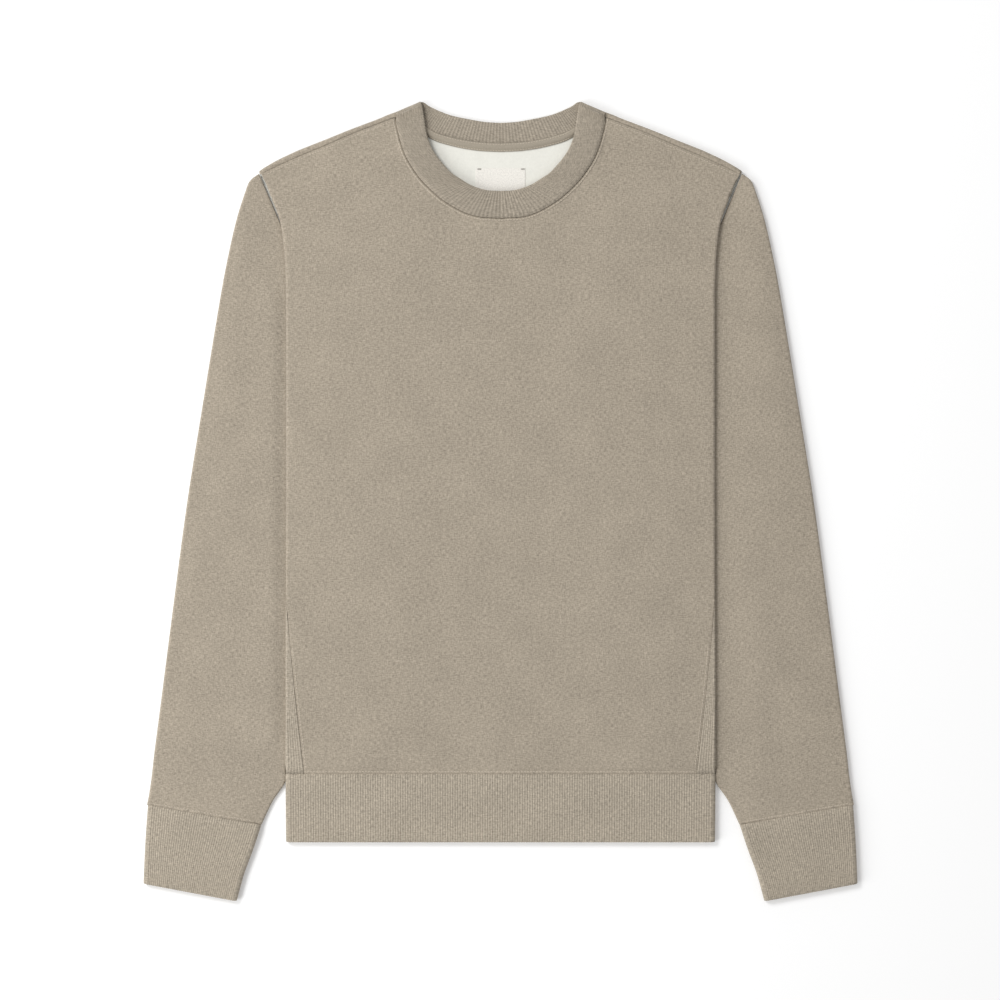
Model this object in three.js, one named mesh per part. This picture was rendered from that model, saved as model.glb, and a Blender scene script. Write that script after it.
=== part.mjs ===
// Crewneck sweatshirt, laid flat on a surface, in millimetres.
// X is across the chest, Y runs from hem to neck and Z is up. The underside lies at Z = 0.

import * as THREE from 'three';

// Driving dimensions
const HEM_SEAM_Y = -259.4;
const HEM_BOTTOM_Y = -323.6;
const UNDERARM_Y = 58;
const ARMHOLE_FOOT_Y = 90;
const SEAM_GAP = 0.3;
// The side seam winds round the fold, so it needs a wider gap
const SIDE_SEAM_GAP = 2;

// Thickness of each cloth
const FLEECE = 1.7;
const SLEEVE_FLEECE = 1.6;
const RIB = 3;
const TAPE = 0.9;

// Height of the middle of each layer above the surface
const BACK_MID = FLEECE / 2;
const SLEEVE_LOW_MID = SLEEVE_FLEECE / 2;
const SLEEVE_TOP_MID = 2.7;
const SLEEVE_LOFT_MID = 4.1;
const SIDE_RETURN_MID = 4.65;
const FRONT_MID = 5;
const FRONT_EDGE_MID = 6.65;
const RIB_LOW_MID = RIB / 2;
const RIB_TOP_MID = 5;
const COLLAR_FRONT_MID = 6.4;

// Rib relief
const RIB_PITCH = 2.4;
const RIB_HEIGHT = 0.4;

// Width of the side panel that shows on the front at the hem, and where it has turned under
const SIDE_STRIP = 17.8;
const SIDE_STRIP_END_Y = -94;
const TURNED_UNDER = 14;

// Length over which the side panel climbs on to the sleeve
const CLIMB = 7;

// Outline tables: each row is a height y and a distance x from the centre line
const BODY_EDGE = [
  { y: -260, x: 204 },
  { y: 190, x: 204 },
  { y: 227, x: 205 },
  { y: 243, x: 206.3 },
  { y: 259, x: 208.3 },
  { y: 272, x: 211.4 },
  { y: 286, x: 217 },
  { y: 296, x: 221 },
  { y: 304, x: 226 },
  { y: 312, x: 229.5 },
];
const SLEEVE_INNER_FOLD = [
  { y: -267, x: 205 },
  { y: -254.5, x: 204.4 },
  { y: -250, x: 202.4 },
  { y: -225, x: 185 },
  { y: -180, x: 160 },
  { y: -94, x: 140 },
  { y: -18, x: 130 },
  { y: 58, x: 121 },
];
const BACK_SIDE_SEAM = [
  { y: -259.4, x: 162 },
  { y: -190, x: 147 },
  { y: -94, x: 129 },
  { y: -18, x: 120 },
  { y: 58, x: 113.5 },
  { y: 90, x: 134 },
];

// Edges that run across: each row is a distance x from the centre line and a height y
const FRONT_TOP = [
  { x: 0, y: 268.4 },
  { x: 27.1, y: 271.2 },
  { x: 51.8, y: 283.6 },
  { x: 69.4, y: 298.3 },
  { x: 81.2, y: 312.5 },
  { x: 91.2, y: 330.1 },
  { x: 97.4, y: 350.5 },
  { x: 100.2, y: 364.3 },
  { x: 120, y: 356.7 },
  { x: 142.3, y: 348 },
  { x: 164.4, y: 338.3 },
  { x: 187, y: 329 },
  { x: 209, y: 319.2 },
  { x: 228, y: 310 },
  { x: 232, y: 308 },
];
const BACK_TOP = [
  { x: 0, y: 335.4 },
  { x: 19.5, y: 336.3 },
  { x: 38.5, y: 339 },
  { x: 57.5, y: 343.9 },
  { x: 72, y: 350 },
  { x: 85, y: 356.8 },
  { x: 96, y: 363 },
  { x: 101.5, y: 369.2 },
  { x: 107, y: 366.7 },
  { x: 113.5, y: 363.9 },
  { x: 143.9, y: 352.5 },
  { x: 167.2, y: 343 },
  { x: 191.4, y: 333.5 },
  { x: 211.9, y: 324 },
  { x: 229, y: 314 },
  { x: 233, y: 312 },
];

// Sleeve from the armhole to the cuff seam: one row for each line across it
const SLEEVE_ROWS = [
  { outerX: 229.6, outerY: 311.2, innerX: 121, innerY: 58 },
  { outerX: 237.5, outerY: 305, innerX: 122, innerY: 50 },
  { outerX: 241.8, outerY: 295.5, innerX: 122.6, innerY: 44 },
  { outerX: 250.8, outerY: 267, innerX: 123.6, innerY: 36 },
  { outerX: 259.4, outerY: 229, innerX: 125.2, innerY: 22 },
  { outerX: 266.5, outerY: 191, innerX: 127.4, innerY: 4 },
  { outerX: 282.2, outerY: 96, innerX: 134.4, innerY: -52 },
  { outerX: 297.4, outerY: 1, innerX: 143.5, innerY: -112 },
  { outerX: 310.2, outerY: -94, innerX: 160, innerY: -180 },
  { outerX: 322.5, outerY: -189, innerX: 185, innerY: -225 },
  { outerX: 328.7, outerY: -236.5, innerX: 202.4, innerY: -250 },
  { outerX: 329.6, outerY: -244, innerX: 205, innerY: -254.5 },
  { outerX: 331.6, outerY: -262, innerX: 205.2, innerY: -267 },
  { outerX: 333.8, outerY: -278, innerX: 216.5, innerY: -285 },
  { outerX: 335, outerY: -288.6, innerX: 227.3, innerY: -307.6 },
];
const CUFF_ROWS = [
  { outerX: 335, outerY: -288.9, innerX: 227.4, innerY: -307.9 },
  { outerX: 338.2, outerY: -338, innerX: 243.5, innerY: -354 },
  { outerX: 339.2, outerY: -363, innerX: 250.6, innerY: -379.7 },
];

// Neckband stations on one half: the seam edge and the free edge
const COLLAR_FRONT = [
  { seamX: 98.5, seamY: 365.6, freeX: 74.6, freeY: 375.8 },
  { seamX: 99, seamY: 360, freeX: 72.8, freeY: 364.8 },
  { seamX: 97.1, seamY: 350.4, freeX: 69.6, freeY: 346.3 },
  { seamX: 90.9, seamY: 330.2, freeX: 62.6, freeY: 330.1 },
  { seamX: 80.9, seamY: 312.8, freeX: 48, freeY: 312.5 },
  { seamX: 69.1, seamY: 298.6, freeX: 37.5, freeY: 305.2 },
  { seamX: 51.6, seamY: 283.9, freeX: 27.1, freeY: 299.2 },
  { seamX: 27, seamY: 271.5, freeX: 14, freeY: 295 },
  { seamX: 0, seamY: 268.7, freeX: 0, freeY: 294 },
];
const COLLAR_BACK = [
  { seamX: 98.5, seamY: 365.6, freeX: 74.6, freeY: 375.8 },
  { seamX: 93, seamY: 362.3, freeX: 71.6, freeY: 376.6 },
  { seamX: 85, seamY: 357.9, freeX: 66.5, freeY: 374.6 },
  { seamX: 72, seamY: 350.4, freeX: 57.5, freeY: 370.4 },
  { seamX: 57.5, seamY: 344.3, freeX: 46, freeY: 366.3 },
  { seamX: 38.5, seamY: 339.4, freeX: 30.5, freeY: 363 },
  { seamX: 19.5, seamY: 336.7, freeX: 15.3, freeY: 360.4 },
  { seamX: 0, seamY: 335.8, freeX: 0, freeY: 359.4 },
];

const TAPE_ROWS = [
  { x: 0, y: 335.9 },
  { x: 20, y: 336.9 },
  { x: 38.5, y: 339.7 },
  { x: 57.5, y: 344.6 },
  { x: 66, y: 348.3 },
];
const TAPE_WIDTH = 8;
// Where the tape steps up from the panel on to the band, measured down from its middle
const TAPE_STEP_FOOT = 2.8;
const TAPE_STEP_TOP = 0.9;
const LABEL_WIDTH = 47.5;
const LABEL_TOP_Y = 316.5;
const LABEL_HEIGHT = 44;

const CLOTH_COLOUR = 0xaa9f8e;
const INSIDE_COLOUR = 0xe9e7df;

// Plain helpers

function smooth(value) {
  const t = Math.min(1, Math.max(0, value));
  return t * t * (3 - 2 * t);
}

function mix(a, b, t) {
  return a + (b - a) * t;
}

// Value of one column of a table at a place in another column, with soft bends
function lookUp(table, keyName, valueName, place) {
  const rising = table[0][keyName] < table[table.length - 1][keyName];
  const rows = rising ? table : [...table].reverse();
  const last = rows.length - 1;
  let k = 0;
  while (k < last - 1 && place > rows[k + 1][keyName]) k += 1;
  const slope = (i) => {
    const a = rows[Math.max(0, i - 1)];
    const b = rows[Math.min(last, i + 1)];
    return (b[valueName] - a[valueName]) / (b[keyName] - a[keyName]);
  };
  const step = rows[k + 1][keyName] - rows[k][keyName];
  const t = Math.min(1, Math.max(0, (place - rows[k][keyName]) / step));
  const a = rows[k][valueName];
  const b = rows[k + 1][valueName];
  const h = t * t * (3 - 2 * t);
  const bendA = t * (1 - t) * (1 - t) * step * slope(k);
  const bendB = t * t * (1 - t) * step * slope(k + 1);
  return a + (b - a) * h + bendA - bendB;
}

// Value at a row number that may lie between two rows
function rowAt(table, place) {
  const numbered = table.map((row, index) => ({ ...row, index }));
  const result = {};
  for (const name of Object.keys(table[0])) {
    result[name] = lookUp(numbered, 'index', name, place);
  }
  return result;
}

// Piecewise straight value, for edges with a real corner
function straight(table, place) {
  let k = 0;
  while (k < table.length - 2 && place > table[k + 1].x) k += 1;
  const a = table[k];
  const b = table[k + 1];
  return mix(a.y, b.y, (place - a.x) / (b.x - a.x));
}

function point(x, y, z) {
  return new THREE.Vector3(x, y, z);
}

// Closed cloth wall around a grid of middle points. Rows may close on themselves as a tube,
// and rib and innerRib give the extra height of each face at a row and column. facing is -1
// where the grid's rows and columns turn the other way round.
function wall(grid, thickness, { tube = false, facing = 1, rib = () => 0, innerRib = () => 0 } = {}) {
  const rows = grid.length;
  const columns = grid[0].length;
  const outer = [];
  const inner = [];
  for (let i = 0; i < rows; i += 1) {
    for (let j = 0; j < columns; j += 1) {
      const up = grid[Math.min(rows - 1, i + 1)][j];
      const down = grid[Math.max(0, i - 1)][j];
      const next = tube ? grid[i][(j + 1) % columns] : grid[i][Math.min(columns - 1, j + 1)];
      const before = tube ? grid[i][(j + columns - 1) % columns] : grid[i][Math.max(0, j - 1)];
      const along = point(0, 0, 0).subVectors(up, down);
      const across = point(0, 0, 0).subVectors(next, before);
      const normal = point(0, 0, 0).crossVectors(across, along).setLength(facing);
      const half = thickness / 2;
      outer.push(grid[i][j].clone().addScaledVector(normal, half + rib(i, j)));
      inner.push(grid[i][j].clone().addScaledVector(normal, -half - innerRib(i, j)));
    }
  }
  const count = rows * columns;
  const positions = [...outer, ...inner].flatMap((p) => [p.x, p.y, p.z]);
  const faces = [];
  const quad = (a, b, c, d) => faces.push(a, b, c, a, c, d);
  const width = tube ? columns : columns - 1;
  for (let i = 0; i < rows - 1; i += 1) {
    for (let j = 0; j < width; j += 1) {
      const a = i * columns + j;
      const b = i * columns + ((j + 1) % columns);
      const c = b + columns;
      const d = a + columns;
      quad(a, b, c, d);
      quad(d + count, c + count, b + count, a + count);
    }
  }
  for (let j = 0; j < width; j += 1) {
    const a = j;
    const b = (j + 1) % columns;
    const top = (rows - 1) * columns;
    quad(a + count, b + count, b, a);
    quad(top + a, top + b, top + b + count, top + a + count);
  }
  if (!tube) {
    for (let i = 0; i < rows - 1; i += 1) {
      const a = i * columns;
      const b = a + columns;
      const edge = columns - 1;
      quad(a, b, b + count, a + count);
      quad(a + edge + count, b + edge + count, b + edge, a + edge);
    }
  }
  return closedGeometry(positions, faces);
}

// Geometry with its faces turned outward, whichever way the grid ran
function closedGeometry(positions, faces) {
  const corner = (index) => point(...positions.slice(index * 3, index * 3 + 3));
  let volume = 0;
  for (let k = 0; k < faces.length; k += 3) {
    const [a, b, c] = [corner(faces[k]), corner(faces[k + 1]), corner(faces[k + 2])];
    volume += a.dot(b.cross(c));
  }
  if (volume < 0) faces.reverse();
  const geometry = new THREE.BufferGeometry();
  geometry.setAttribute('position', new THREE.Float32BufferAttribute(positions, 3));
  geometry.setIndex(faces);
  geometry.computeVertexNormals();
  return geometry;
}

const group = new THREE.Group();

function addPiece(name, geometry, colour = CLOTH_COLOUR) {
  const material = new THREE.MeshStandardMaterial({ color: colour, roughness: 0.95, metalness: 0 });
  const mesh = new THREE.Mesh(geometry, material);
  mesh.name = name;
  group.add(mesh);
}

// Body: one path across the front, round the side fold and back under it

const HEM_RISE = 9;
const SHOULDER_EDGE_Y = 308;
const SHOULDER_CORNER_Y = 311;
const SHOULDER_FALL = 24;
const ARMHOLE_TOP_Y = 300;
const ARMHOLE_TURN = 34;
const STRIP_TURN = 90;
const STRIP_BEND = 1.2;

// 0 at the hem seam, where the fold lies on the surface, and 1 where the sleeve lies below it
function liftOverSleeve(y) {
  return smooth((y - HEM_SEAM_Y) / HEM_RISE);
}

function frontEdgeMid(y) {
  const shoulder = smooth((SHOULDER_EDGE_Y - y) / SHOULDER_FALL);
  return mix(FRONT_MID, FRONT_EDGE_MID, liftOverSleeve(y) * shoulder);
}

function frontMid(x, y) {
  return mix(FRONT_MID, frontEdgeMid(y), smooth((Math.abs(x) - 45) / 70));
}

function sideReturnMid(y) {
  return mix(BACK_MID, SIDE_RETURN_MID, liftOverSleeve(y));
}

function foldRadius(y) {
  return Math.max(0.95, (frontEdgeMid(y) - sideReturnMid(y)) / 2);
}

function foldStart(y) {
  return lookUp(BODY_EDGE, 'y', 'x', y) - foldRadius(y) - FLEECE / 2;
}

// Point of the right-hand path at a length past the start of the side fold
function sidePath(y, length) {
  const radius = foldRadius(y);
  const start = foldStart(y);
  const turn = Math.PI * radius;
  if (length <= 0) return point(start + length, y, frontMid(start + length, y));
  if (length < turn) {
    const angle = length / radius;
    return point(start + radius * Math.sin(angle), y, frontEdgeMid(y) - radius * (1 - Math.cos(angle)));
  }
  const x = start - (length - turn);
  const low = frontEdgeMid(y) - 2 * radius;
  const drop = y > UNDERARM_Y ? 0 : smooth((sideFootX(y) - x) / CLIMB);
  return point(x, y, mix(low, BACK_MID, drop));
}

// Distance from the centre line where the side panel starts down past the sleeve's inner fold
function sideFootX(y) {
  const fold = lookUp(SLEEVE_INNER_FOLD, 'y', 'x', Math.min(y, UNDERARM_Y));
  return Math.min(fold + 1, foldStart(y));
}

// Length at which the front panel ends and the side panel begins
function frontEdgeLength(y) {
  const radius = foldRadius(y);
  const hidden = Math.PI * radius + TURNED_UNDER;
  const shown = -(SIDE_STRIP - radius - FLEECE / 2);
  if (y > UNDERARM_Y) return hidden * smooth((ARMHOLE_TOP_Y - y) / ARMHOLE_TURN);
  const t = (y - HEM_SEAM_Y) / (SIDE_STRIP_END_Y - HEM_SEAM_Y);
  if (t < 1) return mix(radius, shown, (1 - t) ** STRIP_BEND);
  return mix(radius, hidden, smooth((y - SIDE_STRIP_END_Y) / STRIP_TURN));
}

// Heights at the side edge, shared by the panels that meet there
const EDGE_LEVELS = [-255, -250, -230, -190, -150, -122, -94, -68, -43, -18, 20, UNDERARM_Y];
const ARMHOLE_LEVELS = [115, 170, 215, 250, 275, 292, 302];
const FOLD_SHARES = [0.3, 0.5, 0.66, 0.82, 1];
const FOLD_REACH = 4;
const SHOULDER_SEAM_Y = 330;
const SEAM_TRIES = 60;
const EDGE_DROP = 1.5;

// Height where a column of the front panel meets the neck or shoulder seam
function frontTop(share) {
  let y = SHOULDER_SEAM_Y;
  for (let k = 0; k < SEAM_TRIES; k += 1) {
    y = mix(y, straight(FRONT_TOP, share * frontWidth(y)), 0.5);
  }
  return y;
}

function frontWidth(y) {
  return foldStart(Math.min(y, SHOULDER_CORNER_Y)) - FOLD_REACH;
}

function frontPanel() {
  const base = HEM_SEAM_Y + SEAM_GAP / 2;
  const columns = FRONT_TOP.filter((row) => row.x < 210);
  const shares = [...columns.map((row) => row.x / frontWidth(row.y)), 1];
  const edgeTop = frontTop(1) - EDGE_DROP;
  const levels = [base, ...EDGE_LEVELS, ...ARMHOLE_LEVELS, edgeTop];
  const grid = levels.map((level) => {
    const height = (level - base) / (edgeTop - base);
    const yAt = (share) => (share < 1 ? mix(base, frontTop(share) - SEAM_GAP / 2, height) : level);
    const lengthAt = (y) => frontEdgeLength(y) - SEAM_GAP / 2;
    const row = shares.map((share) => {
      const y = yAt(share);
      const x = share * (foldStart(y) + Math.min(0, lengthAt(y)) - FOLD_REACH);
      return point(x, y, frontMid(x, y));
    });
    const edgeY = yAt(1);
    const end = lengthAt(edgeY);
    const start = Math.min(0, end) - FOLD_REACH;
    return [...row, ...FOLD_SHARES.map((share) => sidePath(edgeY, mix(start, end, share)))];
  });
  return mirrored(grid);
}

// Grid of both halves from the right-hand half
function mirrored(grid) {
  return grid.map((row) => {
    const left = row.slice(1).reverse().map((p) => point(-p.x, p.y, p.z));
    return [...left, ...row];
  });
}

const STRIP_STEPS = 14;

// Side panel: from the front seam round the fold, back over the sleeve and down to the back panel
function sidePanel(side) {
  const levels = [HEM_SEAM_Y + SEAM_GAP / 2, ...EDGE_LEVELS];
  const grid = levels.map((y) => {
    const start = foldStart(y);
    const turn = Math.PI * foldRadius(y);
    const from = frontEdgeLength(y) + SIDE_SEAM_GAP;
    const to = turn + start - backSideX(y) - SEAM_GAP / 2;
    const bendEnd = Math.max(from + 2, turn);
    const foot = Math.max(bendEnd + 1, turn + start - sideFootX(y));
    const lengths = [];
    for (let k = 0; k <= STRIP_STEPS; k += 1) lengths.push(mix(from, bendEnd, k / STRIP_STEPS));
    lengths.push(mix(bendEnd, foot, 0.5), foot);
    lengths.push(foot + CLIMB * 0.3, foot + CLIMB * 0.6, foot + CLIMB, to);
    return lengths.map((length) => {
      const p = sidePath(y, length);
      return point(side * p.x, p.y, p.z);
    });
  });
  // The ribs get lower where the strip that shows narrows
  const rib = (i, j) => {
    const strip = 1 - (levels[i] - HEM_SEAM_Y) / (SIDE_STRIP_END_Y - HEM_SEAM_Y);
    return j % 2 === 1 && j < STRIP_STEPS ? RIB_HEIGHT * Math.max(0, strip) : 0;
  };
  return wall(grid, FLEECE, { facing: side, rib });
}

// Line of the sleeve's top, which the back panel ends at
function armholeX(y) {
  const top = SLEEVE_ROWS[0];
  const t = (y - top.innerY) / (top.outerY - top.innerY);
  return mix(top.innerX, top.outerX, t);
}

function backSideX(y) {
  if (y > ARMHOLE_FOOT_Y) return armholeX(y) - 2 * SEAM_GAP;
  let k = 0;
  while (k < BACK_SIDE_SEAM.length - 2 && y > BACK_SIDE_SEAM[k + 1].y) k += 1;
  const [a, b] = [BACK_SIDE_SEAM[k], BACK_SIDE_SEAM[k + 1]];
  return mix(a.x, b.x, (y - a.y) / (b.y - a.y));
}

const BACK_SHARES = [0, 0.09, 0.18, 0.27, 0.34, 0.39, 0.431, 0.441, 0.455, 0.49, 0.6, 0.72, 0.84, 0.94, 1];
const BACK_LEVELS = [-190, -94, -18, UNDERARM_Y, ARMHOLE_FOOT_Y, 180, 296];
const ROLL_REACH = 12;
const ROLL_SHARES = [0.35, 0.55, 0.66, 0.75, 0.84, 0.92, 1];
const NECK_X = 101;
const NECK_CORNER_REACH = 3;
const SHOULDER_OVERLAP = 3 * SEAM_GAP;

function backTop(share) {
  let y = SHOULDER_SEAM_Y;
  for (let k = 0; k < SEAM_TRIES; k += 1) {
    y = mix(y, straight(BACK_TOP, share * backSideX(Math.min(y, SHOULDER_CORNER_Y))), 0.5);
  }
  return y;
}

// Back panel: flat on the surface, with its shoulders rolled over to the front seams
function backPanel() {
  const base = HEM_SEAM_Y + SEAM_GAP / 2;
  const radius = (FRONT_MID - BACK_MID) / 2;
  const columns = BACK_SHARES.map((share) => {
    const fold = backTop(share);
    const topX = share * backSideX(Math.min(fold, SHOULDER_CORNER_Y));
    const rolled = smooth((topX - NECK_X) / NECK_CORNER_REACH);
    const tangent = fold - (rolled > 0 ? FLEECE / 2 + radius : SEAM_GAP);
    const flat = tangent - ROLL_REACH;
    const seam = straight(FRONT_TOP, Math.max(topX, NECK_X)) + SHOULDER_OVERLAP;
    const end = rolled > 0 ? mix(radius, Math.PI * radius + Math.max(0, tangent - seam), rolled) : 0;
    const lastLevel = BACK_LEVELS[BACK_LEVELS.length - 1];
    const column = [base, ...BACK_LEVELS].map((level) => {
      const y = share < 1 ? mix(base, flat, (level - base) / (lastLevel - base)) : level;
      return point(share * backSideX(y) - (share === 1 ? SEAM_GAP : 0), y, BACK_MID);
    });
    for (const roll of ROLL_SHARES) {
      const length = mix(-ROLL_REACH, end, roll);
      const angle = Math.min(Math.PI, Math.max(0, length / radius));
      const past = Math.max(0, length - Math.PI * radius);
      const y = tangent + Math.min(0, length) + radius * Math.sin(angle) - past;
      const x = share * backSideX(Math.min(y, SHOULDER_CORNER_Y)) - (share === 1 ? SEAM_GAP : 0);
      column.push(point(x, y, BACK_MID + radius * (1 - Math.cos(angle))));
    }
    return column;
  });
  const grid = columns[0].map((unused, i) => columns.map((column) => column[i]));
  return mirrored(grid);
}

const FOLD_STEPS = 4;
const FOLD_SETTLE = 12;

// Flattened tube through rows that run from its inner fold to its outer fold
function flatTube(rows, side, { thickness, lowMid, topMid, lowSteps, topSteps }) {
  return rows.map((row) => {
    const inner = point(row.innerX, row.innerY, 0);
    const outer = point(row.outerX, row.outerY, 0);
    const width = inner.distanceTo(outer);
    const direction = outer.clone().sub(inner).normalize();
    const place = (distance, z) => {
      const p = inner.clone().addScaledVector(direction, distance);
      return point(side * p.x, p.y, z);
    };
    const radiusIn = (topMid(inner.x) - lowMid) / 2;
    const radiusOut = (topMid(outer.x) - lowMid) / 2;
    const from = thickness / 2 + radiusIn;
    const to = width - thickness / 2 - radiusOut;
    const heightAt = (distance) => topMid(inner.x + direction.x * distance);
    const loop = [];
    for (let k = 0; k <= topSteps; k += 1) {
      const distance = mix(from, to, k / topSteps);
      const settle = smooth(Math.min(distance - from, to - distance) / FOLD_SETTLE);
      const edge = k < topSteps / 2 ? lowMid + 2 * radiusIn : lowMid + 2 * radiusOut;
      loop.push(place(distance, mix(edge, heightAt(distance), settle)));
    }
    for (let k = 1; k < FOLD_STEPS; k += 1) {
      const angle = (Math.PI * k) / FOLD_STEPS;
      loop.push(place(to + radiusOut * Math.sin(angle), lowMid + radiusOut * (1 + Math.cos(angle))));
    }
    for (let k = 0; k <= lowSteps; k += 1) loop.push(place(mix(to, from, k / lowSteps), lowMid));
    for (let k = 1; k < FOLD_STEPS; k += 1) {
      const angle = (Math.PI * k) / FOLD_STEPS;
      loop.push(place(from - radiusIn * Math.sin(angle), lowMid + radiusIn * (1 - Math.cos(angle))));
    }
    return loop;
  });
}

const SLEEVE_FULL_X = 211;
const SLEEVE_FULL_REACH = 30;

// The sleeve is thin where it passes under the body and fuller beside it
function sleeveTopMid(x) {
  return mix(SLEEVE_TOP_MID, SLEEVE_LOFT_MID, smooth((Math.abs(x) - SLEEVE_FULL_X) / SLEEVE_FULL_REACH));
}

function sleeve(side) {
  return flatTube(SLEEVE_ROWS, side, {
    thickness: SLEEVE_FLEECE,
    lowMid: SLEEVE_LOW_MID,
    topMid: sleeveTopMid,
    lowSteps: 3,
    topSteps: 9,
  });
}

// Every second point of a ribbed layer stands proud
function ribAcross(steps) {
  return (i, j) => (j > 0 && j < steps && j % 2 === 1 ? RIB_HEIGHT : 0);
}

function ribbedTube(rows, side) {
  const width = Math.hypot(rows[0].outerX - rows[0].innerX, rows[0].outerY - rows[0].innerY);
  const steps = 2 * Math.round(width / RIB_PITCH);
  const grid = flatTube(rows, side, {
    thickness: RIB,
    lowMid: RIB_LOW_MID,
    topMid: () => RIB_TOP_MID,
    lowSteps: 3,
    topSteps: steps,
  });
  return wall(grid, RIB, { tube: true, facing: -side, rib: ribAcross(steps) });
}

// Neckband: one folded strip that runs round the neck, across the front and back under the tape
const COLLAR_FRONT_STEPS = 108;
const COLLAR_BACK_STEPS = 80;
const COLLAR_EDGE_GAP = 1.1;
// Part of the way back that the fold's free end comes, so that the neck's peak stays pointed
const PEAK_RETURN = 0.25;

function collarStation(row, z, side) {
  const seam = point(row.seamX, row.seamY, z);
  const free = point(row.freeX, row.freeY, z);
  const inward = free.clone().sub(seam).normalize();
  seam.addScaledVector(inward, COLLAR_EDGE_GAP);
  return [seam, free].map((p) => point(side * p.x, p.y, p.z));
}

function collarHalf(side) {
  const stations = [];
  for (let k = 0; k < COLLAR_FRONT_STEPS; k += 1) {
    const place = (COLLAR_FRONT.length - 1) * (1 - k / COLLAR_FRONT_STEPS);
    stations.push(collarStation(rowAt(COLLAR_FRONT, place), COLLAR_FRONT_MID, side));
  }
  const radius = (COLLAR_FRONT_MID - RIB_LOW_MID) / 2;
  const first = COLLAR_FRONT[0];
  const slope = point(first.seamY - first.freeY, first.freeX - first.seamX, 0).normalize();
  for (let k = 0; k <= FOLD_STEPS; k += 1) {
    const angle = (Math.PI * k) / FOLD_STEPS;
    const out = -radius * Math.sin(angle);
    const peak = k > FOLD_STEPS / 2 ? mix(-radius, out, PEAK_RETURN) : out;
    const z = RIB_LOW_MID + radius * (1 + Math.cos(angle));
    const row = {
      seamX: first.seamX + slope.x * out,
      seamY: first.seamY + slope.y * out,
      freeX: first.freeX + slope.x * peak,
      freeY: first.freeY + slope.y * peak,
    };
    stations.push(collarStation(row, z, side));
  }
  for (let k = 1; k <= COLLAR_BACK_STEPS; k += 1) {
    const place = (COLLAR_BACK.length - 1) * (k / COLLAR_BACK_STEPS);
    stations.push(collarStation(rowAt(COLLAR_BACK, place), RIB_LOW_MID, side));
  }
  return stations;
}

function neckband() {
  const right = collarHalf(1);
  const left = collarHalf(-1).slice(1, -1).reverse();
  const ring = [...right, ...left];
  const grid = [ring.map((station) => station[0]), ring.map((station) => station[1])];
  // The ribs stand on the front of the front arc, and on the inside of the back arc,
  // which is the face that shows through the neck
  const frontSpan = COLLAR_FRONT_STEPS;
  const rib = (i, j) => {
    const fromFront = Math.min(j, ring.length - j);
    return fromFront < frontSpan && j % 2 === 1 ? RIB_HEIGHT : 0;
  };
  const backRib = (i, j) => {
    const fromFront = Math.min(j, ring.length - j);
    return fromFront > frontSpan + FOLD_STEPS && j % 2 === 1 ? RIB_HEIGHT : 0;
  };
  return wall(grid, RIB, { tube: true, rib, innerRib: backRib });
}

// Neck tape: covers the back neck seam on the inside, half on the band and half on the panel
function neckTape() {
  const half = TAPE_ROWS.map((row) => {
    const upper = RIB + RIB_HEIGHT + SEAM_GAP + TAPE / 2;
    const lower = FLEECE + SEAM_GAP + TAPE / 2;
    return [
      point(row.x, row.y - TAPE_WIDTH / 2, lower),
      point(row.x, row.y - TAPE_STEP_FOOT, lower + SEAM_GAP),
      point(row.x, row.y - TAPE_STEP_TOP, upper),
      point(row.x, row.y + TAPE_WIDTH / 2, upper),
    ];
  });
  const columns = half[0].map((unused, i) => half.map((column) => column[i]));
  return wall(mirrored(columns), TAPE);
}

function label() {
  const z = FLEECE + SEAM_GAP;
  const shape = new THREE.BoxGeometry(LABEL_WIDTH, LABEL_HEIGHT, TAPE);
  shape.translate(0, LABEL_TOP_Y - LABEL_HEIGHT / 2, z + TAPE / 2);
  return shape;
}

const HEM_ROWS = [
  { outerX: 204, outerY: HEM_SEAM_Y - SEAM_GAP / 2, innerX: -204, innerY: HEM_SEAM_Y - SEAM_GAP / 2 },
  { outerX: 203.8, outerY: HEM_BOTTOM_Y, innerX: -203.8, innerY: HEM_BOTTOM_Y },
];

addPiece('front_panel', wall(frontPanel(), FLEECE));
addPiece('back_panel', wall(backPanel(), FLEECE));
for (const [name, side] of [['left', -1], ['right', 1]]) {
  addPiece(`side_panel_${name}`, sidePanel(side));
  addPiece(`sleeve_${name}`, wall(sleeve(side), SLEEVE_FLEECE, { tube: true }));
  addPiece(`cuff_${name}`, ribbedTube(CUFF_ROWS, side));
}
addPiece('hem_band', ribbedTube(HEM_ROWS, 1));
addPiece('neckband', neckband());
addPiece('neck_tape', neckTape());
addPiece('label', label(), INSIDE_COLOUR);

export default group;
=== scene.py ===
"""Crewneck sweatshirt laid flat: cloth shells, stitching, materials, light and camera."""

import math

import bpy
import numpy as np
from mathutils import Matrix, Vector


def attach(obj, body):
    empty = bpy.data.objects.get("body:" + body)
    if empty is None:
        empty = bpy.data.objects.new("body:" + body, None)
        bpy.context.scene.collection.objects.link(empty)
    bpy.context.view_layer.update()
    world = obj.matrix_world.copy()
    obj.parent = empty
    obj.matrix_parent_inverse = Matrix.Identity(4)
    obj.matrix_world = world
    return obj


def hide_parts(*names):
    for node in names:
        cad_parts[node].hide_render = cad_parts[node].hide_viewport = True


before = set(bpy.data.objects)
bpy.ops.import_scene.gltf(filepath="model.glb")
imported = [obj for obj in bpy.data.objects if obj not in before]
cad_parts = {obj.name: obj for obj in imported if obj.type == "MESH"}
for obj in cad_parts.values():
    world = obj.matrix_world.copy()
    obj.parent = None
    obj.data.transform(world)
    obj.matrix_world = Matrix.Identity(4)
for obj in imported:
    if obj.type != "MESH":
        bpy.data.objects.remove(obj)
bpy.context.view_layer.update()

MM = 0.001

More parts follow.
